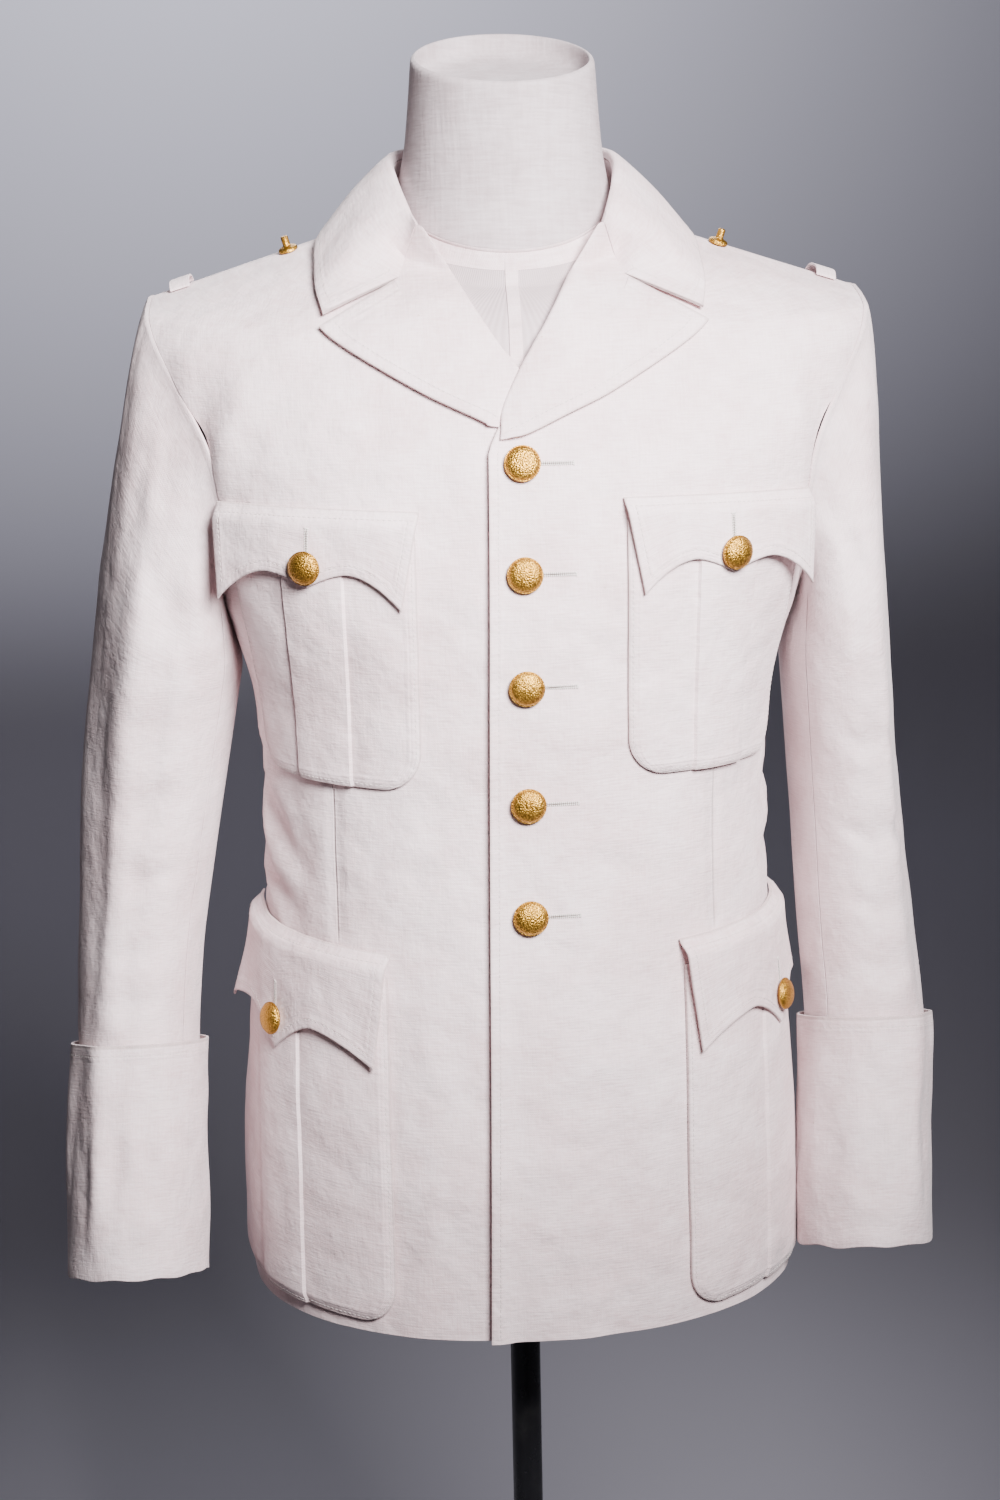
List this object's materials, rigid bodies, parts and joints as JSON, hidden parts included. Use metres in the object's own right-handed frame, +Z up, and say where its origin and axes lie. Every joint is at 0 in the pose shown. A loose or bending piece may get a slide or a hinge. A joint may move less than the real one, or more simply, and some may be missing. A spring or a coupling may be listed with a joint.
{
  "type": "military uniform tunic on a dress form stand",
  "caption": "White summer service tunic with notched collar, gilt buttons, flapped patch pockets and deep cuffs, worn on a limbless linen dress form on a pole stand.",
  "frame": {"origin": "on the floor, at the middle of the stand's underside, on the pole's axis", "axes": "+Z up, the tunic faces -Y, the wearer's left is at +X"},
  "size_m": [0.5563, 0.38, 1.6064],
  "materials": {
    "cotton_white": "matte off-white cotton twill",
    "form_linen": "plain off-white linen cover",
    "gilt_metal": "gilt, pebbled",
    "black_enamel": "gloss black"
  },
  "bodies": {
    "root": {"back_left": "cotton_white", "back_right": "cotton_white", "button_chest_left": "gilt_metal", "button_chest_right": "gilt_metal", "button_front_1": "gilt_metal", "button_front_2": "gilt_metal", "button_front_3": "gilt_metal", "button_front_4": "gilt_metal", "button_front_5": "gilt_metal", "button_waist_left": "gilt_metal", "button_waist_right": "gilt_metal", "collar_fall": "cotton_white", "collar_stand": "cotton_white", "cuff_left": "cotton_white", "cuff_right": "cotton_white", "flap_chest_left": "cotton_white", "flap_chest_right": "cotton_white", "flap_waist_left": "cotton_white", "flap_waist_right": "cotton_white", "form_torso": "form_linen", "front_left": "cotton_white", "front_right": "cotton_white", "lapel_left": "cotton_white", "lapel_right": "cotton_white", "loop_left": "cotton_white", "loop_right": "cotton_white", "pocket_chest_left": "cotton_white", "pocket_chest_right": "cotton_white", "pocket_waist_left": "cotton_white", "pocket_waist_right": "cotton_white", "sleeve_under_left": "cotton_white", "sleeve_under_right": "cotton_white", "sleeve_upper_left": "cotton_white", "sleeve_upper_right": "cotton_white", "stand_base": "black_enamel", "stand_plate": "black_enamel", "stand_pole": "black_enamel", "stud_left": "gilt_metal", "stud_right": "gilt_metal"}
  },
  "joints": []
}
